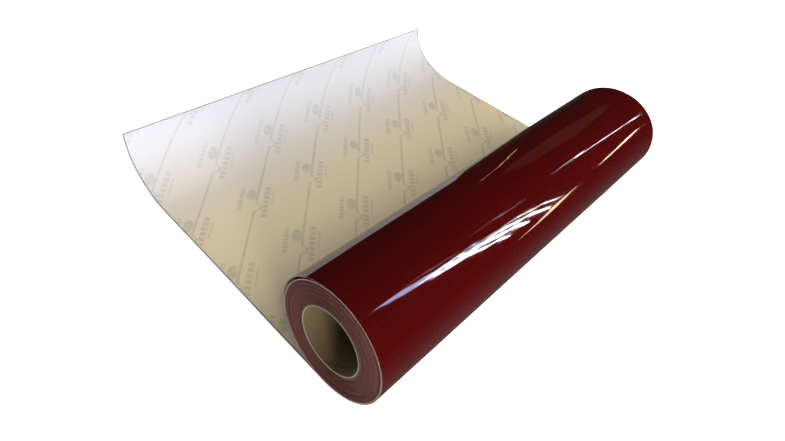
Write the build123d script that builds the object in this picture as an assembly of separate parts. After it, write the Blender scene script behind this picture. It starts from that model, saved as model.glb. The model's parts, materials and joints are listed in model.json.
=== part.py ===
"""Roll of sign vinyl on a paperboard core, with the start of the web laid out flat behind it.

The web is a self-adhesive vinyl film on a paper release liner. It is wound on the core film side
out, leaves the roll at the bottom, lies on the floor with its liner up, and curls up at its cut end.

Frame: millimetres, +X along the core, +Y from the roll towards the web's cut end, +Z up.
The origin is the middle of the core, on its axis. The floor is at z = -ROLL_RADIUS.
"""

import math
import os
from build123d import *

# --- driving dimensions ---
WEB_WIDTH = 610.0  # 24 inch web
CORE_BORE_RADIUS = 38.1  # 3 inch core
CORE_WALL = 3.5
ROLL_RADIUS = 68.0  # outside of the last turn where it rests on the floor

# --- the web's layers, from its film face inwards ---
FILM_THICKNESS = 0.08
ADHESIVE_THICKNESS = 0.02  # an open gap between the film's solid and the liner's
LINER_THICKNESS = 0.16
LINER_INSET = FILM_THICKNESS + ADHESIVE_THICKNESS
WEB_THICKNESS = LINER_INSET + LINER_THICKNESS

# --- the core's plies ---
GLUE_LINE = 0.02
INNER_PLY = 0.5
OUTER_PLY = 0.5
CORE_RADIUS = CORE_BORE_RADIUS + CORE_WALL

# --- the double-sided tape that starts the web on the core ---
TAPE_WIDTH = 50.0
TAPE_THICKNESS = 0.1
TAPE_LENGTH = 560.0

# --- the wound pack ---
PACK_RADIUS = 67.2  # film face of the turn under the loose one
TURN_PITCH = WEB_THICKNESS + 0.02
SEPARATE_TURNS = 3  # turns under the loose one that are modelled one by one

# --- the last turn, which stands off the pack on the side of the laid web ---
SLACK_AT_TOP = 3.0  # straight stretch over the top
SAG_RADIUS = 67.0  # from the widest point down to where the turn meets the pack
SAG_TURN = 80.0

# --- the laid web, measured from under the roll's axis ---
PAY_OUT_LENGTH = 262.0  # stretch that grows and shrinks as the roll travels
LAID_LENGTH = 40.0
LIFT_ARC = (120.0, 35.0)  # radius and turn of the first part of the curl
TIP_ARC = (70.0, 45.0)  # and of the part at the cut end
FLAP_TURN = 20.0  # turn of the first arc where the liner's flap begins
SEAM_GAP = 0.05  # between stretches of one web that move apart

TOWARDS_TAIL, AWAY_FROM_TAIL = 0.0, 180.0
LEFT, RIGHT = 1, -1


def unit(degrees):
    """Unit vector in the YZ plane at an angle from +Y towards +Z."""
    return Vector(0, math.cos(math.radians(degrees)), math.sin(math.radians(degrees)))


def walk(start, heading, side, steps, inset):
    """Edges of a course that only bends to one side, shifted towards that side by inset.

    A step is ("straight", length) or ("arc", radius, turn in degrees).
    """
    at, edges = start, []
    for step in steps:
        inwards = unit(heading + side * 90)
        if step[0] == "straight":
            ahead = at + unit(heading) * step[1]
            edges.append(Line(at + inwards * inset, ahead + inwards * inset))
            at = ahead
            continue
        _, radius, turn = step
        centre = at + inwards * radius
        spots = [centre - unit(heading + side * (90 + share * turn)) * (radius - inset) for share in (0, 0.5, 1)]
        edges.append(ThreePointArc(*spots))
        heading += side * turn
        at = centre - unit(heading + side * 90) * radius
    return edges, at, heading


def layer(start, heading, side, steps, inset, thickness, width=WEB_WIDTH):
    """One layer of the web along a course, as a solid."""
    near, _, _ = walk(start, heading, side, steps, inset)
    far, _, _ = walk(start, heading, side, steps, inset + thickness)
    ends = [Line(near[0] @ 0, far[0] @ 0), Line(near[-1] @ 1, far[-1] @ 1)]
    face = Face(Wire(near + far + ends))
    return extrude(face, amount=width / 2, dir=(1, 0, 0), both=True)


def film(start, heading, side, steps):
    return layer(start, heading, side, steps, 0, FILM_THICKNESS)


def liner(start, heading, side, steps):
    return layer(start, heading, side, steps, LINER_INSET, LINER_THICKNESS)


def tube(inner, outer, length=WEB_WIDTH):
    """A tube along X, centred on the origin."""
    wall = Circle(outer) - Circle(inner)
    return extrude(Plane.YZ * wall, amount=length / 2, both=True)


def core_plies():
    """The spiral-wound paperboard core: a smooth ply inside and outside a thick body."""
    body_inner = CORE_BORE_RADIUS + INNER_PLY
    body_outer = CORE_RADIUS - OUTER_PLY
    return {
        "core_inner_ply": tube(CORE_BORE_RADIUS, body_inner),
        "core_body": tube(body_inner + GLUE_LINE, body_outer - GLUE_LINE),
        "core_outer_ply": tube(body_outer, CORE_RADIUS),
    }


def tape_strip(inner, outer, length):
    """A strip along X at the top of the core, TAPE_WIDTH wide round it."""
    half_turn = math.degrees(TAPE_WIDTH / 2 / CORE_RADIUS)
    start = unit(90 + half_turn) * outer
    steps = [("arc", outer, 2 * half_turn)]
    return layer(start, half_turn, RIGHT, steps, 0, outer - inner, length)


def wound_roll():
    """The pack: a ring for the inner turns, then the last few turns one by one."""
    tape_inner = CORE_RADIUS + GLUE_LINE / 2
    tape_outer = tape_inner + TAPE_THICKNESS
    spiral = [("arc", PACK_RADIUS - half * TURN_PITCH / 2, 180) for half in range(2 * SEPARATE_TURNS)]
    start = Vector(0, 0, -PACK_RADIUS)
    ring_radius = PACK_RADIUS - (SEPARATE_TURNS + 1) * TURN_PITCH
    pocket = tape_strip(CORE_RADIUS - 1, tape_outer + GLUE_LINE, WEB_WIDTH + 2)
    return {
        "starter_tape": tape_strip(tape_inner, tape_outer, TAPE_LENGTH),
        "inner_turns": tube(CORE_RADIUS + GLUE_LINE, ring_radius) - pocket,
        "last_turns_film": film(start, AWAY_FROM_TAIL, RIGHT, spiral),
        "last_turns_liner": liner(start, AWAY_FROM_TAIL, RIGHT, spiral),
    }


def loose_turn():
    """The last turn: round the front and over the top on the pack, then slack down the back."""
    side_radius = ROLL_RADIUS
    steps = [
        ("arc", ROLL_RADIUS, 180),
        ("straight", SLACK_AT_TOP),
        ("arc", side_radius, 90),
        ("arc", SAG_RADIUS, SAG_TURN),
    ]
    start = Vector(0, 0, -ROLL_RADIUS)
    return {
        "loose_turn_film": film(start, AWAY_FROM_TAIL, RIGHT, steps),
        "loose_turn_liner": liner(start, AWAY_FROM_TAIL, RIGHT, steps),
    }


def laid_web():
    """The flat web behind the roll, and its free end, which curls up."""
    radius, turn = LIFT_ARC
    course = {
        "pay_out_web": [("straight", PAY_OUT_LENGTH - 2 * SEAM_GAP)],
        "laid_web": [("straight", LAID_LENGTH - SEAM_GAP)],
        "free_end": [("arc", radius, turn), ("arc", *TIP_ARC)],
    }
    starts = {
        "pay_out_web": SEAM_GAP,
        "laid_web": PAY_OUT_LENGTH,
        "free_end": PAY_OUT_LENGTH + LAID_LENGTH,
    }
    nodes = {}
    for name, steps in course.items():
        start = Vector(0, starts[name], -ROLL_RADIUS)
        nodes[name + "_film"] = film(start, TOWARDS_TAIL, LEFT, steps)
        if name != "free_end":
            nodes[name + "_liner"] = liner(start, TOWARDS_TAIL, LEFT, steps)
    start = Vector(0, starts["free_end"], -ROLL_RADIUS)
    seam_turn = math.degrees(SEAM_GAP / radius)
    fixed = [("arc", radius, FLAP_TURN - seam_turn)]
    nodes["free_end_liner"] = liner(start, TOWARDS_TAIL, LEFT, fixed)
    _, flap_start, heading = walk(start, TOWARDS_TAIL, LEFT, [("arc", radius, FLAP_TURN)], 0)
    flap = [("arc", radius, turn - FLAP_TURN), ("arc", *TIP_ARC)]
    nodes["liner_flap"] = liner(flap_start, heading, LEFT, flap)
    return nodes


def joint_points():
    """Points that the joints turn about: the liner's upper face at each bend."""
    start = Vector(0, PAY_OUT_LENGTH + LAID_LENGTH, -ROLL_RADIUS)
    _, foot, heading = walk(start, TOWARDS_TAIL, LEFT, [("arc", LIFT_ARC[0], FLAP_TURN)], 0)
    return {
        "end_lift": start + Vector(0, 0, WEB_THICKNESS),
        "liner_peel": foot + unit(heading + 90) * WEB_THICKNESS,
    }


def main():
    os.makedirs("parts", exist_ok=True)
    nodes = {**core_plies(), **wound_roll(), **loose_turn(), **laid_web()}
    for name, shape in nodes.items():
        export_step(shape, f"parts/{name}.step")
    for name, point in joint_points().items():
        print(f"{name} turns about y {point.Y:.4f} z {point.Z:.4f}")


main()
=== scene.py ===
"""Roll of sign vinyl on a paperboard core, its web laid out behind it, and the studio it lies in.

Every length is in metres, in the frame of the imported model: +X along the core, +Y from the roll
towards the cut end of the web, +Z up. The origin is the middle of the core, on its axis.
"""

import json
import math

import bmesh
import bpy
import numpy as np
from bpy.props import FloatProperty, FloatVectorProperty, IntProperty, PointerProperty
from bpy.types import Operator, Panel, PropertyGroup
from mathutils import Matrix, Vector


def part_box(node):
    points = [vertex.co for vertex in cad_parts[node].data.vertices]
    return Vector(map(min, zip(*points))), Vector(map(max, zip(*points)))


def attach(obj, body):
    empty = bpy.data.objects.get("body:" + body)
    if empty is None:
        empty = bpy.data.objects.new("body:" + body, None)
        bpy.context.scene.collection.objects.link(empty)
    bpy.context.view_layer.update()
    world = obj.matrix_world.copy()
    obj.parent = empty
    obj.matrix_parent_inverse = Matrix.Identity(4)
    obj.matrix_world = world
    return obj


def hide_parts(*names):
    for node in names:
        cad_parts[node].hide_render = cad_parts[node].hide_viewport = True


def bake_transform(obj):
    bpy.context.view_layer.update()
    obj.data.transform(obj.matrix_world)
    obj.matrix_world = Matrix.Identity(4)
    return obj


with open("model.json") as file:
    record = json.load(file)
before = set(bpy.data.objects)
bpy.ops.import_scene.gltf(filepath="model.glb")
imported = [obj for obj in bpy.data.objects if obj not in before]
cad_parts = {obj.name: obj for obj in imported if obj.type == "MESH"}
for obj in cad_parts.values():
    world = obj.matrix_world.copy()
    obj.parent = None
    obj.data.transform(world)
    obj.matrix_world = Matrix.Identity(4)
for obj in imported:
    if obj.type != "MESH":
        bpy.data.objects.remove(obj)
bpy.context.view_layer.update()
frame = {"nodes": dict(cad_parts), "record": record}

bl_info = {
    "name": "Roll of sign vinyl",
    "version": (1, 0, 0),
    "blender": (4, 5, 0),
    "location": "3D View > Sidebar > Vinyl roll",
    "description": "Builds a roll of sign vinyl with its web laid out behind it",
    "category": "Object",
}

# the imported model's own sizes
HALF_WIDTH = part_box("core_inner_ply")[1][0]
FLOOR_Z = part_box("laid_web_film")[0][2]
ROLL_RADIUS = -FLOOR_Z
BORE_MOUNT = next(m for m in frame["record"]["mounts"] if m["name"] == "core_bore")
CORE_BORE = BORE_MOUNT["dims"]["r_mm"] / 1000
PACK_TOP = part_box("last_turns_film")[1][2]
RING_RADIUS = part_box("inner_turns")[1][2]
PAY_OUT_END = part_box("laid_web_film")[0][1]
LIFT_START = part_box("free_end_film")[0][1]

# courses of the web: ("straight", length) or ("arc", radius, turn in degrees)
LIFT_ARC = (0.120, 35.0)
TIP_ARC = (0.070, 45.0)
FLAP_TURN = 20.0
LOOSE_TURN = [
    ("arc", ROLL_RADIUS, 180.0), ("straight", 0.003),
    ("arc", ROLL_RADIUS, 90.0), ("arc", 0.067, 80.0),
]
WEB_END = LIFT_START + sum(radius * math.radians(turn) for radius, turn in (LIFT_ARC, TIP_ARC))
LEFT, RIGHT = 1, -1

# small gaps: between the core's plies and at their ends, under the first turn, between one turn
# and the next, and from the ends of the last turns to the web's edge
PLY_GAP = 1e-5
CORE_GAP = 0.0001
TURN_GAP = 0.00002
TURN_INSET = 0.0001

# how finely shapes are divided: faces round the core, corners across the web, and the distance
# between corners along it
CORE_SEGMENTS = 180
WEB_COLUMNS = 62
LOOSE_SPACING, CURL_SPACING, FLAT_SPACING = 0.0018, 0.003, 0.006

# section of the pack's ends, as shares of one turn's thickness, and how its ends are set back
LINER_TOP, FILM_FOOT, FILM_TOP = 0.64, 0.66, 0.99
END_INSET = 0.00035
FILM_INSET = 0.00005

# height of the laid web's long waves
FLAT_RIPPLE = 0.00035

# the liner's back print, in millimetres: where a repeat has its middle, how far apart repeats and
# slanted lines are, and how far a line steps aside to pass a spot
PRINT_MIDDLE = (3.0, 262.0)
PRINT_PITCH = (100.0, 95.0)
LINE_PITCH = 67.2
LINE_STEP = 7.0
# rows of dashes: middle and half height, middle and half length, pitch and half length of a dash
DASH_ROWS = (
    (-13.2, 3.2, -8.5, 23.0, 6.6, 2.3),
    (20.8, 4.0, -8.5, 31.0, 9.0, 3.2),
    (29.2, 1.7, -1.5, 14.5, 4.2, 1.4),
)

# colours without a setting: a pair is the darkest and the palest of one finish
SLIT_LINER = (0.042, 0.011, 0.009), (0.25, 0.095, 0.080)
SLIT_FILM = (0.035, 0.005, 0.005), (0.12, 0.030, 0.026)
SILICONE = (0.70, 0.66, 0.55), (0.78, 0.75, 0.66)
TAPE = (0.72, 0.70, 0.62), (0.84, 0.83, 0.77)
NICK = (0.02, 0.006, 0.006)
LINER_EDGE = (0.64, 0.47, 0.42)
# colour of a painted shade line along the liner's edges
LINER_EDGE_SHADE = (0.16, 0.19, 0.19)

# colours of the lights
WHITE, SKY, AMBER = (0.93, 0.95, 1.0), (0.64, 0.62, 1.0), (1.0, 0.74, 0.46)

# the studio: how far off the mirrored and the soft lights are, and the floor's reach and glow
MIRRORED_DISTANCE, SOFT_DISTANCE = 2.3, 2.6
FLOOR_REACH = 6.0
FLOOR_GLOW = 0.84

# the camera: its place, what it faces, its roll in degrees, its lens in mm and its shift
CAMERA_PLACE = (-0.5496, -0.1846, 0.4642)
CAMERA_TARGET = (-0.1044, 0.1860, -0.0200)
CAMERA_ROLL = 9.68
CAMERA_LENS = 25.64
CAMERA_SHIFT = (0.0639, -0.0594)


# --- sizes and colours that can be changed ---


class CoreSettings(PropertyGroup):
    """Sizes and colours of the paperboard core"""

    bore_radius: FloatProperty(
        name="Bore radius", description="Inside radius of the core",
        default=CORE_BORE, unit="LENGTH")
    wall: FloatProperty(
        name="Wall", description="Thickness of the core's wall",
        default=0.0035, unit="LENGTH")
    ply: FloatProperty(
        name="Face ply", description="Thickness of the inner and outer plies",
        default=0.0005, unit="LENGTH")
    ply_width: FloatProperty(
        name="Ply width", description="How far along the core one turn of the inner ply runs",
        default=0.11, unit="LENGTH")
    board_colour: FloatVectorProperty(
        name="Board", description="Colour of the board's cut end",
        default=(0.56, 0.47, 0.35), subtype="COLOR")
    kraft_colour: FloatVectorProperty(
        name="Kraft", description="Colour of the inner ply",
        default=(0.185, 0.142, 0.080), subtype="COLOR")


class WebSettings(PropertyGroup):
    """Thicknesses and colours of the vinyl film and its release liner"""

    film: FloatProperty(
        name="Film", description="Thickness of the vinyl film",
        default=0.00008, unit="LENGTH")
    adhesive: FloatProperty(
        name="Adhesive", description="Gap between film and liner",
        default=0.00002, unit="LENGTH")
    liner: FloatProperty(
        name="Liner", description="Thickness of the release liner",
        default=0.00016, unit="LENGTH")
    ripple: FloatProperty(
        name="Ripple", description="Height of the loose turn's shallow ripples",
        default=0.00009, unit="LENGTH")
    film_colour: FloatVectorProperty(
        name="Film colour", description="Colour of the vinyl's face",
        default=(0.058, 0.0018, 0.0019), subtype="COLOR")
    adhesive_colour: FloatVectorProperty(
        name="Adhesive colour", description="Colour of the film's back under its adhesive",
        default=(0.16, 0.05, 0.055), subtype="COLOR")
    liner_colour: FloatVectorProperty(
        name="Liner colour", description="Colour of the liner's printed side",
        default=(0.76, 0.655, 0.44), subtype="COLOR")
    # painted light: the end colour is a paler, bluer paper that stands in for cool light falling
    # on the curled end
    end_colour: FloatVectorProperty(
        name="Liner end colour", description="Colour of the liner's bleached outer end",
        default=(0.67, 0.70, 0.83), subtype="COLOR")
    print_colour: FloatVectorProperty(
        name="Print colour", description="Colour of the liner's back print",
        default=(0.31, 0.34, 0.285), subtype="COLOR")


class PackSettings(PropertyGroup):
    """The tightly wound turns on the core"""

    turns: IntProperty(
        name="Turns", description="Turns in the inner part of the pack",
        default=95, min=1)
    segments: IntProperty(
        name="Segments", description="Faces round each turn",
        default=80, min=12)
    spread: FloatProperty(
        name="Spread", description="How far single turns stand out of the pack's ends",
        default=0.00028, unit="LENGTH")
    seed: IntProperty(
        name="Seed", description="Seed of the turns' offsets",
        default=7)


class StudioSettings(PropertyGroup):
    """The floor and the lights"""

    floor_colour: FloatVectorProperty(
        name="Floor", description="Colour of the floor",
        default=(0.9, 0.9, 0.9), subtype="COLOR")
    window_power: FloatProperty(
        name="Window", description="Power of the tall window, which the gloss mirrors",
        default=22.0, unit="POWER")
    key_power: FloatProperty(
        name="Key", description="Power of the broad light on the window's side",
        default=60.0, unit="POWER")
    ambient: FloatProperty(
        name="Ambient", description="Strength of the light from all round",
        default=0.1)


# --- materials ---


class Value:
    """A number in a node tree that can be added, multiplied and compared."""

    def __init__(self, tree, socket):
        self.tree = tree
        self.socket = socket

    def step(self, operation, *others):
        node = self.tree.nodes.new("ShaderNodeMath")
        node.operation = operation
        for place, item in enumerate((self,) + others):
            if isinstance(item, Value):
                self.tree.links.new(item.socket, node.inputs[place])
            else:
                node.inputs[place].default_value = item
        return Value(self.tree, node.outputs[0])

    def __add__(self, other):
        return self.step("ADD", other)

    def __sub__(self, other):
        return self.step("SUBTRACT", other)

    def __mul__(self, other):
        return self.step("MULTIPLY", other)

    def __truediv__(self, other):
        return self.step("DIVIDE", other)

    def larger(self, other):
        return self.step("MAXIMUM", other)

    def size(self):
        return self.step("ABSOLUTE")

    def inverted(self):
        """0 where it is 1, and 1 where it is 0."""
        return self * -1.0 + 1.0

    def repeating(self):
        """Counts from -0.5 to 0.5 again and again."""
        return self.step("WRAP", 0.5, -0.5)

    def ramp(self, start, end, low=0.0, high=1.0):
        """Rises smoothly from low at start to high at end."""
        node = self.tree.nodes.new("ShaderNodeMapRange")
        node.interpolation_type = "SMOOTHSTEP"
        self.tree.links.new(self.socket, node.inputs["Value"])
        limits = {"From Min": start, "From Max": end, "To Min": low, "To Max": high}
        for name, number in limits.items():
            node.inputs[name].default_value = number
        return Value(self.tree, node.outputs["Result"])

    def inside(self, middle, half, edge):
        """1 within half of middle, falling to 0 over edge."""
        return (self - middle).size().ramp(half + edge, half - edge)


def split(tree, socket):
    """The three numbers of a vector."""
    node = tree.nodes.new("ShaderNodeSeparateXYZ")
    tree.links.new(socket, node.inputs[0])
    return [Value(tree, out) for out in node.outputs]


def joined(tree, x, y, z=0.0):
    """A vector of three numbers."""
    node = tree.nodes.new("ShaderNodeCombineXYZ")
    for place, item in enumerate((x, y, z)):
        if isinstance(item, Value):
            tree.links.new(item.socket, node.inputs[place])
        else:
            node.inputs[place].default_value = item
    return node.outputs[0]


def noise(tree, place, scale, detail=2.0, roughness=0.5):
    """Smooth noise from about 0 to 1, with scale waves per metre of place."""
    node = tree.nodes.new("ShaderNodeTexNoise")
    node.inputs["Scale"].default_value = scale
    node.inputs["Detail"].default_value = detail
    node.inputs["Roughness"].default_value = roughness
    tree.links.new(place, node.inputs["Vector"])
    return Value(tree, node.outputs["Fac"])


def blended(tree, share, low, high):
    """Colour between low and high. Each is a colour or a socket, and share may be one number."""
    node = tree.nodes.new("ShaderNodeMix")
    node.data_type = "RGBA"
    if isinstance(share, Value):
        tree.links.new(share.socket, node.inputs["Factor"])
    else:
        node.inputs["Factor"].default_value = share
    for socket, colour in ((node.inputs[6], low), (node.inputs[7], high)):
        if isinstance(colour, bpy.types.NodeSocket):
            tree.links.new(colour, socket)
        else:
            socket.default_value = (*colour[:3], 1.0)
    return node.outputs[2]


def shade(colour, factor):
    """The colour made darker or lighter."""
    return tuple(min(1.0, c * factor) for c in colour)


def finish(name, roughness, **sockets):
    """A new material and its shader, with the shader's even values set on it."""
    material = bpy.data.materials.new(name)
    material.use_nodes = True
    tree = material.node_tree
    shader = tree.nodes["Principled BSDF"]
    shader.inputs["Roughness"].default_value = roughness
    for socket, number in sockets.items():
        shader.inputs[socket.replace("_", " ")].default_value = number
    return material, tree, shader


def bumped(tree, shader, height, distance, strength=1.0):
    """Gives the shader fine relief, distance high where height is 1."""
    node = tree.nodes.new("ShaderNodeBump")
    node.inputs["Strength"].default_value = strength
    node.inputs["Distance"].default_value = distance
    tree.links.new(height.socket, node.inputs["Height"])
    tree.links.new(node.outputs["Normal"], shader.inputs["Normal"])


def object_place(tree):
    """Where a spot is in the frame, at rest."""
    return tree.nodes.new("ShaderNodeTexCoord").outputs["Object"]


def web_place(tree):
    """Where a spot is on the web: across it, and along it from under the core."""
    node = tree.nodes.new("ShaderNodeAttribute")
    node.attribute_name = "web_place"
    return node.outputs["Vector"]


def axis_place(tree):
    """Distance from the core's axis, angle round it and distance along it."""
    x, y, z = split(tree, object_place(tree))
    radius = (y * y + z * z).step("SQRT")
    return radius, z.step("ARCTAN2", y), x


def gloss_vinyl(web):
    """Cast vinyl's face: deep gloss, with faint lines along the core from the turn under it."""
    material, tree, shader = finish("gloss burgundy vinyl", 0.07, IOR=1.5)
    place = web_place(tree)
    across, along, _ = split(tree, place)
    lines = noise(tree, joined(tree, across * 0.6, along * 200.0), 1.0, 1.0, 0.35)
    broad = noise(tree, joined(tree, across * 9.0, along * 34.0), 1.0, 1.0)
    bumped(tree, shader, lines + broad * 0.6, 0.0001)
    cloud = noise(tree, place, 14.0, 3.0)
    dark, pale = shade(web.film_colour, 0.68), shade(web.film_colour, 1.32)
    tint = blended(tree, lines * 0.6 + cloud * 0.4, dark, pale)
    tree.links.new(tint, shader.inputs["Base Color"])
    haze = noise(tree, joined(tree, across * 30.0, along * 220.0), 1.0, 2.0)
    tree.links.new(haze.ramp(0.3, 0.8, 0.03, 0.065).socket, shader.inputs["Roughness"])
    return material


def adhesive_back(web):
    """The film's back through its clear adhesive: duller, with fine specks."""
    material, tree, shader = finish("film back with adhesive", 0.3)
    specks = noise(tree, web_place(tree), 900.0, 2.0)
    dark, pale = shade(web.adhesive_colour, 0.85), shade(web.adhesive_colour, 1.2)
    tree.links.new(blended(tree, specks, dark, pale), shader.inputs["Base Color"])
    bumped(tree, shader, specks, 0.00002)
    return material


def back_print(across, along):
    """The liner's back print: slanted lines that step past oval spots, with rows of dashes."""
    x = (across * 1000.0 - PRINT_MIDDLE[0]) / PRINT_PITCH[0]
    y = (along * 1000.0 - PRINT_MIDDLE[1]) / PRINT_PITCH[1]
    a = x.repeating() * PRINT_PITCH[0]
    b = y.repeating() * PRINT_PITCH[1]
    # from a repeat's middle, in the slanted lines' direction and square to it
    length = (a + b) * 0.7071
    side = (a - b) * 0.7071
    aside = length.ramp(-31.0, -24.0) - length.ramp(-19.0, -12.0)
    offset = (y - x + 0.116).repeating() * LINE_PITCH
    line = (offset + aside * LINE_STEP).size().ramp(2.3, 0.7) * 0.9
    oval = ((length - 2.0) / 11.0).step("POWER", 2.0) + (side / 6.5).step("POWER", 2.0)
    mask = line.larger(oval.ramp(1.25, 0.75) * 0.9)
    for middle, half, centre, reach, pitch, dash in DASH_ROWS:
        row = side.inside(middle, half, 0.8) * length.inside(centre, reach, 0.8)
        cuts = (length / pitch).repeating() * pitch
        mask = mask.larger(row * cuts.inside(0.0, dash, 0.9) * 0.8)
    return mask


def release_liner(web, name, flat):
    """The liner's outer side: smooth clay-coated paper with a pale back print."""
    material, tree, shader = finish(name, 0.6, Specular_IOR_Level=0.3)
    place = object_place(tree) if flat else web_place(tree)
    across, along, _ = split(tree, place)
    fibre = noise(tree, place, 420.0, 4.0, 0.6)
    cloud = noise(tree, place, 9.0, 3.0)
    # painted light: towards the curled end the paper fades from its own colour to the paler, bluer
    # end colour. This paints cool light on the end and leaves the part by the roll darker, as in
    # the roll's shade. The print fades with it
    lit = along.ramp(0.20, 0.44)
    share = lit + (cloud - 0.5) * 0.15
    paper = blended(tree, share, web.liner_colour, web.end_colour)
    spots = blended(tree, fibre.ramp(0.35, 0.7), paper, shade(web.liner_colour, 1.06))
    speckled = blended(tree, 0.25, paper, spots)
    worn = noise(tree, place, 160.0, 2.0).ramp(0.3, 0.6, 0.55, 1.0)
    ink = back_print(across, along) * worn * lit.ramp(0.0, 1.0, 0.46, 0.27)
    printed = blended(tree, ink, speckled, web.print_colour)
    # painted shade: a dark grey line about 1.5 mm wide along both long edges and the cut end
    # stands in for the shade at the liner's edge
    sides = across.size().ramp(HALF_WIDTH - 0.0024, HALF_WIDTH - 0.0012)
    rim = sides.larger(along.ramp(WEB_END - 0.0022, WEB_END - 0.001))
    tree.links.new(blended(tree, rim * 0.85, printed, LINER_EDGE_SHADE), shader.inputs["Base Color"])
    bumped(tree, shader, fibre, 0.00002, 0.6)
    return material


def release_face():
    """The liner's silicone side, which the film peels from."""
    material, tree, shader = finish("liner silicone side", 0.22)
    cloud = noise(tree, web_place(tree), 40.0, 3.0)
    tree.links.new(blended(tree, cloud, *SILICONE), shader.inputs["Base Color"])
    bumped(tree, shader, cloud, 0.00003)
    return material


def cut_edge(name, colour, roughness):
    """A slit edge of the film or the liner, a little uneven along its length."""
    material, tree, shader = finish(name, roughness)
    fray = noise(tree, object_place(tree), 700.0, 2.0)
    tint = blended(tree, fray, shade(colour, 0.75), shade(colour, 1.2))
    tree.links.new(tint, shader.inputs["Base Color"])
    bumped(tree, shader, fray, 0.00003)
    return material


def turn_edges():
    """The pack's ends: slit edges of film and liner, smeared adhesive and a few paler turns."""
    material, tree, shader = finish("slit turn edges", 0.38)
    radius, _, _ = axis_place(tree)
    layer = tree.nodes.new("ShaderNodeAttribute")
    layer.attribute_name = "layer"
    film_share = Value(tree, layer.outputs["Fac"])
    ring = tree.nodes.new("ShaderNodeTexNoise")
    ring.noise_dimensions = "1D"
    ring.inputs["Detail"].default_value = 4.0
    ring.inputs["Roughness"].default_value = 0.75
    tree.links.new((radius * 300.0).socket, ring.inputs["W"])
    rings = Value(tree, ring.outputs["Fac"])
    smear = noise(tree, object_place(tree), 55.0, 3.0)
    liner = blended(tree, rings.ramp(0.40, 0.60), *SLIT_LINER)
    film = blended(tree, rings.ramp(0.42, 0.60), *SLIT_FILM)
    slit = blended(tree, film_share, liner, film)
    nick = noise(tree, object_place(tree), 170.0, 1.0).ramp(0.70, 0.74)
    tree.links.new(blended(tree, nick * 0.7, slit, NICK), shader.inputs["Base Color"])
    bumped(tree, shader, rings + smear * 0.3, 0.00022)
    return material


def board_paper(tree, colour):
    """Fibrous brown paper: its colour, and the noise of its fibres."""
    place = object_place(tree)
    fibre = noise(tree, place, 500.0, 4.0, 0.65)
    cloud = noise(tree, place, 30.0, 3.0)
    tint = blended(tree, fibre * 0.5 + cloud * 0.5, shade(colour, 0.72), shade(colour, 1.25))
    return tint, fibre


def kraft_ply(core):
    """The core's inner ply: kraft paper, with the helical seam where its turns meet."""
    material, tree, shader = finish("kraft inner ply", 0.78)
    _, angle, along = axis_place(tree)
    tint, fibre = board_paper(tree, core.kraft_colour)
    turns = along / core.ply_width + angle / (2 * math.pi)
    groove = (turns.repeating() * core.ply_width).size().ramp(0.0011, 0.0004)
    tint = blended(tree, groove * 0.6, tint, shade(core.kraft_colour, 0.35))
    bumped(tree, shader, fibre * 0.2 - groove, 0.0002)
    tree.links.new(tint, shader.inputs["Base Color"])
    return material


def core_board(core):
    """The core's cut ends: grey-brown board with rings of glue between its plies."""
    material, tree, shader = finish("core board", 0.78)
    radius, _, _ = axis_place(tree)
    tint, fibre = board_paper(tree, core.board_colour)
    plies = (radius * 2500.0).step("SINE") * 0.5 + 0.5
    # the cut end is pale only within about a millimetre of the bore, and darker beyond
    darker_outward = radius.ramp(core.bore_radius + 0.0006, core.bore_radius + 0.0012)
    tint = blended(tree, darker_outward, tint, shade(core.kraft_colour, 0.45))
    tint = blended(tree, plies * 0.3, tint, shade(core.kraft_colour, 0.35))
    bumped(tree, shader, fibre + plies, 0.00008)
    tree.links.new(tint, shader.inputs["Base Color"])
    return material


def starter_tape_finish():
    """Pale double-sided tape."""
    material, tree, shader = finish("starter tape", 0.45)
    weave = noise(tree, object_place(tree), 250.0, 3.0)
    tree.links.new(blended(tree, weave, *TAPE), shader.inputs["Base Color"])
    return material


# --- shapes ---


def placed(name, data):
    """A new object of this mesh, light or camera, at the origin."""
    piece = bpy.data.objects.new(name, data)
    bpy.context.collection.objects.link(piece)
    return piece


def face_outwards(mesh, sharp=None):
    """Turns a closed mesh's faces outwards, and marks edges sharper than sharp radians."""
    shell = bmesh.new()
    shell.from_mesh(mesh)
    if shell.calc_volume(signed=True) < 0:
        bmesh.ops.reverse_faces(shell, faces=shell.faces)
    if sharp is not None:
        for edge in shell.edges:
            edge.smooth = edge.calc_face_angle(0.0) < sharp
    shell.to_mesh(mesh)
    shell.free()


def mesh_piece(name, vertices, faces, materials, face_materials, sharp=0.6):
    """A closed piece with outward faces, smooth but for edges sharper than sharp radians."""
    mesh = bpy.data.meshes.new(name)
    mesh.from_pydata([tuple(v) for v in vertices], [], [tuple(f) for f in faces])
    for material in materials:
        mesh.materials.append(material)
    mesh.polygons.foreach_set("material_index", np.array(face_materials, np.int32))
    mesh.polygons.foreach_set("use_smooth", np.ones(len(faces), bool))
    face_outwards(mesh, sharp)
    return placed(name, mesh)


def revolved(name, profile, segments, materials, face_materials):
    """A closed profile of (x, radius) turned round the core's axis."""
    angles = np.arange(segments) * 2 * math.pi / segments
    count = len(profile)
    vertices = [(x, r * math.cos(a), r * math.sin(a)) for a in angles for x, r in profile]
    faces, picked = [], []
    for i in range(segments):
        ahead = (i + 1) % segments
        for j in range(count):
            k = (j + 1) % count
            here, there = i * count, ahead * count
            faces.append((here + j, here + k, there + k, there + j))
            picked.append(face_materials[j])
    return mesh_piece(name, vertices, faces, materials, picked)


def ring_profile(inner, outer, half, chamfer):
    """Section of a tube with small chamfers at its four corners."""
    return [
        (-half + chamfer, inner), (half - chamfer, inner),
        (half, inner + chamfer), (half, outer - chamfer),
        (half - chamfer, outer), (-half + chamfer, outer),
        (-half, outer - chamfer), (-half, inner + chamfer),
    ]


def unit(degrees):
    """A step of one metre, as y and z, at this angle up from +Y."""
    return np.array([math.cos(math.radians(degrees)), math.sin(math.radians(degrees))])


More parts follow.
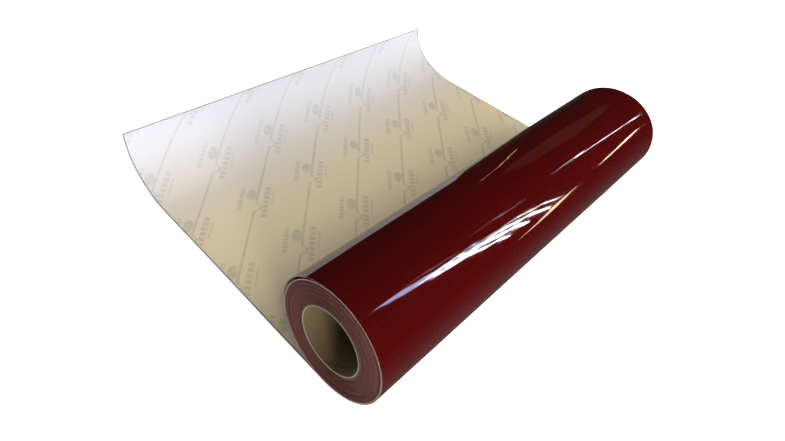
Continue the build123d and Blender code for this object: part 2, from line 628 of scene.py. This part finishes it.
def course(start, heading, side, steps, spacing, distance=0.0):
    """Points, inward normals and distances along the web, sampled about every spacing.

    The course starts at start in the direction of heading, and its arcs turn LEFT or RIGHT.
    """
    at = np.array(start, float)
    points, normals, distances = [], [], []
    for step in steps:
        inward = unit(heading + side * 90)
        length = step[1] if step[0] == "straight" else step[1] * math.radians(step[2])
        count = max(2, int(math.ceil(length / spacing)))
        shares = np.arange(0 if not points else 1, count + 1) / count
        if step[0] == "straight":
            for share in shares:
                points.append(at + unit(heading) * length * share)
                normals.append(inward)
                distances.append(distance + length * share)
            at = at + unit(heading) * length
        else:
            centre = at + inward * step[1]
            for share in shares:
                normal = unit(heading + side * (90 + share * step[2]))
                points.append(centre - normal * step[1])
                normals.append(normal)
                distances.append(distance + length * share)
            heading += side * step[2]
            at = points[-1]
        distance += length
    return np.array(points), np.array(normals), np.array(distances)


def strip(name, path, inset, thickness, materials, columns=2, ripple=None, half=HALF_WIDTH):
    """One layer of the web. Its near face, far face and cut rims take the materials in turn."""
    points, normals, distances = path
    across = np.linspace(-half, half, columns)
    rows = len(points)
    vertices, places = [], []
    for depth in (inset, inset + thickness):
        for i in range(rows):
            for x in across:
                lift = depth + (ripple(x, distances[i]) if ripple else 0.0)
                y, z = points[i] + normals[i] * lift
                vertices.append((x, y, z))
                places.append((x, distances[i], 0.0))
    faces, picked = [], []
    far = rows * columns
    for i in range(rows - 1):
        for j in range(columns - 1):
            a = i * columns + j
            quad = (a, a + 1, a + columns + 1, a + columns)
            faces.append(quad)
            picked.append(0)
            faces.append(tuple(far + k for k in reversed(quad)))
            picked.append(1)
    rim = list(range(columns - 1))
    rim += [i * columns + columns - 1 for i in range(rows - 1)]
    rim += [(rows - 1) * columns + j for j in range(columns - 1, 0, -1)]
    rim += [i * columns for i in range(rows - 1, 0, -1)]
    for k, a in enumerate(rim):
        b = rim[(k + 1) % len(rim)]
        faces.append((b, a, a + far, b + far))
        picked.append(2)
    piece = mesh_piece(name, vertices, faces, materials, picked)
    attribute = piece.data.attributes.new("web_place", "FLOAT_VECTOR", "POINT")
    attribute.data.foreach_set("vector", np.array(places, np.float32).ravel())
    return piece


def loose_ripple(height):
    """Shallow ripples of the loose turn, fading out where it meets the floor and the pack."""
    rng = np.random.default_rng(11)
    waves = []
    for _ in range(9):
        # waves per metre across the web and along it, phase and share of the height
        limits = ((-5, 5), (9, 26), (0, 2 * math.pi), (0.4, 1.0))
        waves.append([rng.uniform(low, high) for low, high in limits])
    total = sum(share for _, _, _, share in waves)
    girth = 2 * math.pi * ROLL_RADIUS
    fade = 0.05

    def at(x, distance):
        rise = min(1.0, abs(distance) / fade) * min(1.0, abs(girth - abs(distance)) / fade)
        value = sum(
            share * math.sin(2 * math.pi * (across * x + along * distance) + phase)
            for across, along, phase, share in waves
        )
        return height * rise * value * 2.5 / total

    return at


def flat_ripple(x, distance):
    """The laid web lifts a little off the floor in long low waves, but not at the roll."""
    rise = min(1.0, max(0.0, distance - 0.03) / 0.08)
    wave = math.sin(9.0 * x + 1.0) * math.sin(21.0 * distance + 0.6)
    wave = wave + 0.5 * math.sin(17.0 * x - 30.0 * distance)
    return FLAT_RIPPLE * rise * (1.5 + wave)


# --- Geometry Nodes: the wound turns ---


def wound_turns_inputs(tree):
    """The tree's named inputs, with a ready value for each number but the seed."""
    for name, kind, default in (
        ("Core radius", "NodeSocketFloat", 0.0416), ("Pack radius", "NodeSocketFloat", 0.066),
        ("Half length", "NodeSocketFloat", 0.305), ("Spread", "NodeSocketFloat", 0.0001),
        ("Turns", "NodeSocketInt", 95), ("Segments", "NodeSocketInt", 80),
        ("Seed", "NodeSocketInt", 7), ("Material", "NodeSocketMaterial", None),
    ):
        socket = tree.interface.new_socket(name, in_out="INPUT", socket_type=kind)
        if default is not None:
            socket.default_value = default
    tree.interface.new_socket("Geometry", in_out="OUTPUT", socket_type="NodeSocketGeometry")
    given = tree.nodes.new("NodeGroupInput").outputs
    names = ("Core radius", "Pack radius", "Half length", "Spread", "Turns", "Segments")
    return given, [Value(tree, given[name]) for name in names]


def wound_turns_tree():
    """A node tree that makes the pack's inner turns as rings with slit edges of film and liner.

    It starts from a grid. Each row becomes the pack's section at one angle: four corners a turn
    outwards at one end, the same corners back inwards at the other end, and one that closes it.
    """
    tree = bpy.data.node_groups.new("Wound turns", "GeometryNodeTree")
    given, values = wound_turns_inputs(tree)
    core_radius, pack_radius, half_length, spread, turns, segments = values
    columns = turns * 8.0 + 1.0
    rows = segments + 1.0
    grid = tree.nodes.new("GeometryNodeMeshGrid")
    grid.inputs["Size X"].default_value = 1.0
    grid.inputs["Size Y"].default_value = 1.0
    tree.links.new(columns.socket, grid.inputs["Vertices X"])
    tree.links.new(rows.socket, grid.inputs["Vertices Y"])

    # which turn and which of its corners a column is
    u, v, _ = split(tree, tree.nodes.new("GeometryNodeInputPosition").outputs[0])
    column = ((u + 0.5) * (columns - 1.0)).step("ROUND")
    per_end = turns * 4.0
    second = column.step("GREATER_THAN", per_end - 0.5)
    closing = column.step("GREATER_THAN", per_end * 2.0 - 0.5)
    back = per_end * 2.0 - 1.0 - column
    index = (column * second.inverted() + back * second) * closing.inverted()
    turn = (index / 4.0).step("FLOOR")
    corner = index - turn * 4.0
    film = corner.step("GREATER_THAN", 1.5)

    # its radius
    pitch = (pack_radius - core_radius) / turns
    share = corner.step("COMPARE", 1.0, 0.1) * LINER_TOP
    share = share + corner.step("COMPARE", 2.0, 0.1) * FILM_FOOT
    share = share + corner.step("COMPARE", 3.0, 0.1) * FILM_TOP
    radius = core_radius + (turn + share) * pitch

    # how far its turn stands out of the pack's end
    jitter = tree.nodes.new("FunctionNodeRandomValue")
    jitter.data_type = "FLOAT"
    jitter.inputs["Min"].default_value = -1.0
    jitter.inputs["Max"].default_value = 1.0
    tree.links.new(turn.socket, jitter.inputs["ID"])
    tree.links.new(given["Seed"], jitter.inputs["Seed"])
    drift = tree.nodes.new("ShaderNodeTexNoise")
    drift.noise_dimensions = "1D"
    tree.links.new((turn * 0.21).socket, drift.inputs["W"])
    stand = Value(tree, jitter.outputs["Value"]) * 0.4
    stand = stand + (Value(tree, drift.outputs["Fac"]) - 0.5) * 3.0
    side = (second - closing) * 2.0 - 1.0
    reach = half_length - END_INSET + stand * spread - film * FILM_INSET

    # the grid moved into place, with the film's corners marked for the finish
    angle = (v + 0.5) * (2 * math.pi)
    spot = joined(tree, side * reach, radius * angle.step("COSINE"), radius * angle.step("SINE"))
    move = tree.nodes.new("GeometryNodeSetPosition")
    tree.links.new(grid.outputs["Mesh"], move.inputs["Geometry"])
    tree.links.new(spot, move.inputs["Position"])
    layer = tree.nodes.new("GeometryNodeStoreNamedAttribute")
    layer.data_type = "FLOAT"
    layer.domain = "POINT"
    layer.inputs["Name"].default_value = "layer"
    tree.links.new(move.outputs[0], layer.inputs["Geometry"])
    tree.links.new(film.socket, layer.inputs["Value"])
    merge = tree.nodes.new("GeometryNodeMergeByDistance")
    merge.inputs["Distance"].default_value = 1e-6
    real = tree.nodes.new("GeometryNodeRealizeInstances")
    paint = tree.nodes.new("GeometryNodeSetMaterial")
    out = tree.nodes.new("NodeGroupOutput")
    tree.links.new(layer.outputs[0], merge.inputs["Geometry"])
    tree.links.new(merge.outputs[0], real.inputs[0])
    tree.links.new(real.outputs[0], paint.inputs["Geometry"])
    tree.links.new(given["Material"], paint.inputs["Material"])
    tree.links.new(paint.outputs[0], out.inputs[0])
    return tree


def grown(name, tree, settings):
    """A plain mesh piece from a node tree and values for its named inputs."""
    holder = placed(name + " maker", bpy.data.meshes.new(name + " maker"))
    modifier = holder.modifiers.new(name, "NODES")
    modifier.node_group = tree
    inputs = [item for item in tree.interface.items_tree if item.in_out == "INPUT"]
    identifiers = {item.name: item.identifier for item in inputs}
    for key, number in settings.items():
        modifier[identifiers[key]] = number
    bpy.context.view_layer.update()
    evaluated = holder.evaluated_get(bpy.context.evaluated_depsgraph_get())
    mesh = bpy.data.meshes.new_from_object(evaluated)
    holder.modifiers.remove(modifier)
    bpy.data.objects.remove(holder)
    mesh.name = name
    face_outwards(mesh)
    return placed(name, mesh)


# --- operators: one for each piece or group of pieces ---


def made_once(name, make, *details):
    """The finish of this name, made when it is first asked for."""
    return bpy.data.materials.get(name) or make(*details)


def film_finishes(web):
    """The film's face, its back and its cut edge."""
    edge = "film slit edge"
    return [
        made_once("gloss burgundy vinyl", gloss_vinyl, web),
        made_once("film back with adhesive", adhesive_back, web),
        made_once(edge, cut_edge, edge, shade(web.film_colour, 1.6), 0.35),
    ]


def liner_finishes(web, flat):
    """The liner's silicone side, its printed side and its cut edge."""
    printed = "printed liner laid flat" if flat else "printed liner"
    edge = "liner slit edge"
    return [
        made_once("liner silicone side", release_face),
        made_once(printed, release_liner, web, printed, flat),
        made_once(edge, cut_edge, edge, LINER_EDGE, 0.6),
    ]


def web_layers(web, flat=False):
    """The film, then its liner: depth from the film's face, thickness, finishes and slot."""
    return (
        (0, web.film, film_finishes(web), "vinyl_film"),
        (web.film + web.adhesive, web.liner, liner_finishes(web, flat), "release_liner"),
    )


class VINYL_OT_core(Operator):
    """Spiral-wound paperboard core: inner ply, body and outer ply"""

    bl_idname = "vinyl.core"
    bl_label = "Core"

    def execute(self, context):
        core = context.scene.vinyl_core
        finishes = [kraft_ply(core), core_board(core)]
        bore, outer = core.bore_radius, core.bore_radius + core.wall
        body = (bore + core.ply + PLY_GAP, outer - core.ply - PLY_GAP)
        # sides of a ply's section, from its bore round: faces are kraft, and cut ends are board
        faced, plain_board = (0, 1, 1, 1) * 2, (1,) * 8
        plies = (
            ("core_inner_face", bore, bore + core.ply, "core_inner_ply", 0.00015),
            ("core_board_body", *body, "core_body", 0.0002),
            ("core_outer_face", outer - core.ply, outer, "core_outer_ply", 0.00015),
        )
        for name, low, high, node, chamfer in plies:
            body_ply = node == "core_body"
            profile = ring_profile(low, high, HALF_WIDTH - PLY_GAP, chamfer)
            sides = plain_board if body_ply else faced
            piece = revolved(name, profile, CORE_SEGMENTS, finishes, sides)
            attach(piece, "roll")
            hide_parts(node)
        return {"FINISHED"}


class VINYL_OT_pack(Operator):
    """Wound pack: inner turns, the last three turns as real spirals, and the starter tape"""

    bl_idname = "vinyl.pack"
    bl_label = "Wound pack"

    def execute(self, context):
        scene = context.scene
        core, web, pack = scene.vinyl_core, scene.vinyl_web, scene.vinyl_pack
        inner = grown("wound_turns", wound_turns_tree(), {
            "Core radius": core.bore_radius + core.wall + CORE_GAP, "Pack radius": RING_RADIUS,
            "Half length": HALF_WIDTH, "Turns": pack.turns, "Segments": pack.segments,
            "Spread": pack.spread, "Seed": pack.seed, "Material": turn_edges(),
        })
        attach(inner, "roll")
        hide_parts("inner_turns")
        # each half turn is half a pitch tighter than the one before
        pitch = web.film + web.adhesive + web.liner + TURN_GAP
        spiral = [("arc", PACK_TOP - half * pitch / 2, 180.0) for half in range(6)]
        path = course((0, -PACK_TOP), 180, RIGHT, spiral, FLAT_SPACING)
        names = ("last_turns_vinyl", "last_turns_film"), ("last_turns_paper", "last_turns_liner")
        for (name, node), (depth, thickness, finishes, slot) in zip(names, web_layers(web)):
            width = HALF_WIDTH - TURN_INSET
            piece = strip(name, path, depth, thickness, finishes, half=width)
            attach(piece, "roll")
            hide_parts(node)
        for place in frame["nodes"]["starter_tape"].material_slots:
            place.material = starter_tape_finish()
        return {"FINISHED"}


class VINYL_OT_loose_turn(Operator):
    """Outermost turn of film and liner, slack down the back of the roll"""

    bl_idname = "vinyl.loose_turn"
    bl_label = "Loose turn"

    def execute(self, context):
        web = context.scene.vinyl_web
        path = course((0, FLOOR_Z), 180, RIGHT, LOOSE_TURN, LOOSE_SPACING)
        ripple = loose_ripple(web.ripple)
        names = ("loose_vinyl", "loose_turn_film"), ("loose_paper", "loose_turn_liner")
        for (name, node), (depth, thickness, finishes, slot) in zip(names, web_layers(web)):
            piece = strip(name, path, depth, thickness, finishes, WEB_COLUMNS, ripple)
            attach(piece, "loose_turn")
            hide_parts(node)
        return {"FINISHED"}


class VINYL_OT_flat_web(Operator):
    """Flat web between the roll and the strip that never leaves the floor"""

    bl_idname = "vinyl.flat_web"
    bl_label = "Flat web"

    def execute(self, context):
        layers = web_layers(context.scene.vinyl_web, flat=True)
        path = course((0, FLOOR_Z), 0, LEFT, [("straight", PAY_OUT_END)], FLAT_SPACING)
        pieces = (
            ("flat_vinyl", "pay_out_web_film", []),
            ("flat_paper", "pay_out_web_liner", ["flat_vinyl"]),
        )
        for (name, node, below), (depth, thickness, finishes, slot) in zip(pieces, layers):
            piece = strip(name, path, depth, thickness, finishes, WEB_COLUMNS, flat_ripple)
            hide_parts(node)
            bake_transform(piece)
        return {"FINISHED"}


class VINYL_OT_free_end(Operator):
    """The web's end, which leaves the floor and curls up, without the liner's flap"""

    bl_idname = "vinyl.free_end"
    bl_label = "Free end"

    def execute(self, context):
        layers = web_layers(context.scene.vinyl_web)
        flat = ("straight", LIFT_START - PAY_OUT_END)
        curl = [flat, ("arc", *LIFT_ARC), ("arc", *TIP_ARC)]
        short = [flat, ("arc", LIFT_ARC[0], FLAP_TURN)]
        pieces = (
            ("end_vinyl", curl, ["laid_web_film", "free_end_film"], []),
            ("end_paper", short, ["laid_web_liner", "free_end_liner"], ["end_vinyl"]),
        )
        for (name, steps, nodes, below), (depth, thickness, finishes, slot) in zip(pieces, layers):
            path = course((PAY_OUT_END, FLOOR_Z), 0, LEFT, steps, CURL_SPACING, PAY_OUT_END)
            piece = strip(name, path, depth, thickness, finishes, WEB_COLUMNS, flat_ripple)
            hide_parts(*nodes)
            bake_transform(piece)
        return {"FINISHED"}


class VINYL_OT_liner_flap(Operator):
    """The liner's end, lying over the film's curl as a piece of its own"""

    bl_idname = "vinyl.liner_flap"
    bl_label = "Liner flap"

    def execute(self, context):
        _, (depth, thickness, finishes, _) = web_layers(context.scene.vinyl_web)
        radius, turn = LIFT_ARC
        lead = course((LIFT_START, FLOOR_Z), 0, LEFT, [("arc", radius, FLAP_TURN)],
                      CURL_SPACING, LIFT_START)
        foot, reached = lead[0][-1], lead[2][-1]
        steps = [("arc", radius, turn - FLAP_TURN), ("arc", *TIP_ARC)]
        path = course(foot, FLAP_TURN, LEFT, steps, CURL_SPACING, reached)
        piece = strip("flap_paper", path, depth, thickness, finishes, WEB_COLUMNS, flat_ripple)
        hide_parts("liner_flap")
        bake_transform(piece)
        return {"FINISHED"}


def bearing(azimuth, elevation, distance):
    """A place this far from the origin, with its bearing in degrees."""
    a, e = math.radians(azimuth), math.radians(elevation)
    level = distance * math.cos(e)
    return (level * math.cos(a), level * math.sin(a), distance * math.sin(e))


def area_light(name, place, size, height, power, colour, shape="RECTANGLE", lean=0.0):
    """A light at place that faces the origin, turned lean degrees about its own line of aim."""
    data = bpy.data.lights.new(name, "AREA")
    data.shape = shape
    data.size, data.size_y = size, height
    data.energy = power
    data.color = colour
    light = placed(name, data)
    light.location = place
    facing = (-Vector(place)).to_track_quat("-Z", "Y").to_matrix()
    light.rotation_euler = (facing @ Matrix.Rotation(math.radians(lean), 3, "Z")).to_euler()
    return light


class VINYL_OT_studio(Operator):
    """Floor, lights, surroundings and camera"""

    bl_idname = "vinyl.studio"
    bl_label = "Studio"

    def execute(self, context):
        studio = context.scene.vinyl_studio
        self.floor(studio)
        self.surroundings(studio)
        self.mirrored_lights(studio.window_power)
        self.soft_lights(studio.key_power)
        self.camera(context)
        context.scene.view_settings.view_transform = "Standard"
        return {"FINISHED"}

    def mirrored_lights(self, power):
        """Window panes and strips that only show in the gloss."""
        for name, azimuth, elevation, wide, tall, watts, colour, lean in (
            ("left pane", -44.2, 29, 0.04, 1.3, power * 0.24, WHITE, 0),
            ("middle pane", -41.9, 27, 0.045, 1.4, power * 0.34, WHITE, 0),
            ("right pane", -39.8, 24, 0.03, 1.5, power * 0.22, WHITE, 0),
            ("top pane", -43.0, 42, 0.17, 1.1, power * 0.26, SKY, 0),
            ("thin pane", -37.8, 23, 0.02, 1.3, power * 0.07, WHITE, 0),
            ("side strip", -18, 26, 0.022, 0.6, 0.7, WHITE, 0),
            ("upper strip", -36, 47, 0.006, 0.5, 0.1, WHITE, 0),
            ("far upper strip", -26, 39, 0.006, 0.4, 0.08, WHITE, 0),
            ("back strip", 36, 21, 0.008, 0.6, 0.12, AMBER, 0),
            ("brown wall", 18, 30, 0.7, 0.45, 0.1, (1.0, 0.55, 0.26), 12),
            ("low warm strip", -40.5, 3, 0.42, 0.06, 0.9, AMBER, 25),
            ("far warm strip", -28.0, 9, 0.30, 0.035, 0.7, AMBER, 25),
        ):
            place = bearing(azimuth, elevation, MIRRORED_DISTANCE)
            light = area_light(name, place, wide, tall, watts, colour, "ELLIPSE", lean)
            light.visible_diffuse = False

    def soft_lights(self, power):
        """Broad lights that the gloss doesn't mirror."""
        for name, azimuth, elevation, wide, watts, colour in (
            ("key", -50, 46, 2.0, power, (1.0, 0.98, 0.94)),
            ("cool fill", -80, 35, 1.2, 10.0, (0.8, 0.9, 1.0)),
            ("low front", -122, 15, 0.7, 36.0, (1.0, 0.92, 0.83)),
            ("ceiling", 90, 78, 3.0, 15.0, (1.0, 1.0, 1.0)),
        ):
            place = bearing(azimuth, elevation, SOFT_DISTANCE)
            light = area_light(name, place, wide, wide, watts, colour)
            light.visible_glossy = False

    def floor(self, studio):
        """A pale floor with a faint glow of its own, which the gloss doesn't mirror."""
        mesh = bpy.data.meshes.new("floor")
        corners = ((-1, -1), (1, -1), (1, 1), (-1, 1))
        mesh.from_pydata([(x * FLOOR_REACH, y * FLOOR_REACH, FLOOR_Z) for x, y in corners],
                         [], [(0, 1, 2, 3)])
        material, tree, shader = finish("studio floor", 0.9)
        soft = noise(tree, object_place(tree), 3.0, 2.0)
        tint = blended(tree, soft, shade(studio.floor_colour, 0.99), studio.floor_colour)
        tree.links.new(tint, shader.inputs["Base Color"])
        shader.inputs["Emission Color"].default_value = (1.0, 1.0, 1.0, 1.0)
        shader.inputs["Emission Strength"].default_value = FLOOR_GLOW
        mesh.materials.append(material)
        ground = placed("floor", mesh)
        ground.visible_glossy = False

    def surroundings(self, studio):
        """White to the camera, dim all round, and dark in the gloss but for what is low down."""
        world = bpy.data.worlds.new("studio")
        world.use_nodes = True
        tree = world.node_tree
        back = tree.nodes["Background"]
        rays = tree.nodes.new("ShaderNodeLightPath")
        seen = Value(tree, rays.outputs["Is Camera Ray"])
        mirrored = Value(tree, rays.outputs["Is Glossy Ray"])
        outward = tree.nodes.new("ShaderNodeTexCoord").outputs["Generated"]
        glow = (split(tree, outward)[2] * -1.0).ramp(0.0, 0.7, 0.015, 0.11)
        level = seen * (1.0 - studio.ambient) + studio.ambient
        level = level * mirrored.inverted() + mirrored * glow
        tree.links.new(level.socket, back.inputs["Strength"])
        back.inputs["Color"].default_value = (1.0, 1.0, 1.0, 1.0)
        bpy.context.scene.world = world

    def camera(self, context):
        """The camera, which the scene looks through."""
        place, target = Vector(CAMERA_PLACE), Vector(CAMERA_TARGET)
        data = bpy.data.cameras.new("camera")
        data.lens = CAMERA_LENS
        data.sensor_width = 36.0
        data.shift_x, data.shift_y = CAMERA_SHIFT
        data.clip_start = 0.01
        eye = placed("camera", data)
        facing = (target - place).to_track_quat("-Z", "Y").to_matrix().to_4x4()
        roll = Matrix.Rotation(math.radians(CAMERA_ROLL), 4, "Z")
        eye.matrix_world = Matrix.Translation(place) @ facing @ roll
        context.scene.camera = eye


class VINYL_PT_sidebar(Panel):
    """Lists the builders and their settings"""

    bl_idname = "VINYL_PT_sidebar"
    bl_label = "Roll of sign vinyl"
    bl_space_type = "VIEW_3D"
    bl_region_type = "UI"
    bl_category = "Vinyl roll"

    def draw(self, context):
        for attribute, group in GROUPS:
            for key in group.__annotations__:
                self.layout.prop(getattr(context.scene, attribute), key)
        for builder in BUILDERS:
            self.layout.operator(builder.bl_idname)


GROUPS = (
    ("vinyl_core", CoreSettings), ("vinyl_web", WebSettings),
    ("vinyl_pack", PackSettings), ("vinyl_studio", StudioSettings),
)
BUILDERS = (
    VINYL_OT_core, VINYL_OT_pack, VINYL_OT_loose_turn, VINYL_OT_flat_web,
    VINYL_OT_free_end, VINYL_OT_liner_flap, VINYL_OT_studio,
)


def register():
    """Registers the settings and the builders, and puts the settings on the scene."""
    for attribute, group in GROUPS:
        bpy.utils.register_class(group)
        setattr(bpy.types.Scene, attribute, PointerProperty(type=group))
    for kind in BUILDERS + (VINYL_PT_sidebar,):
        bpy.utils.register_class(kind)


def unregister():
    """Takes off the scene what register put there."""
    for kind in (VINYL_PT_sidebar,) + BUILDERS[::-1]:
        bpy.utils.unregister_class(kind)
    for attribute, group in GROUPS[::-1]:
        delattr(bpy.types.Scene, attribute)
        bpy.utils.unregister_class(group)


def main():
    """Builds every piece and the studio."""
    register()
    bpy.ops.vinyl.core()
    bpy.ops.vinyl.pack()
    bpy.ops.vinyl.loose_turn()
    bpy.ops.vinyl.flat_web()
    bpy.ops.vinyl.free_end()
    bpy.ops.vinyl.liner_flap()
    bpy.ops.vinyl.studio()


if __name__ == "__main__":
    main()
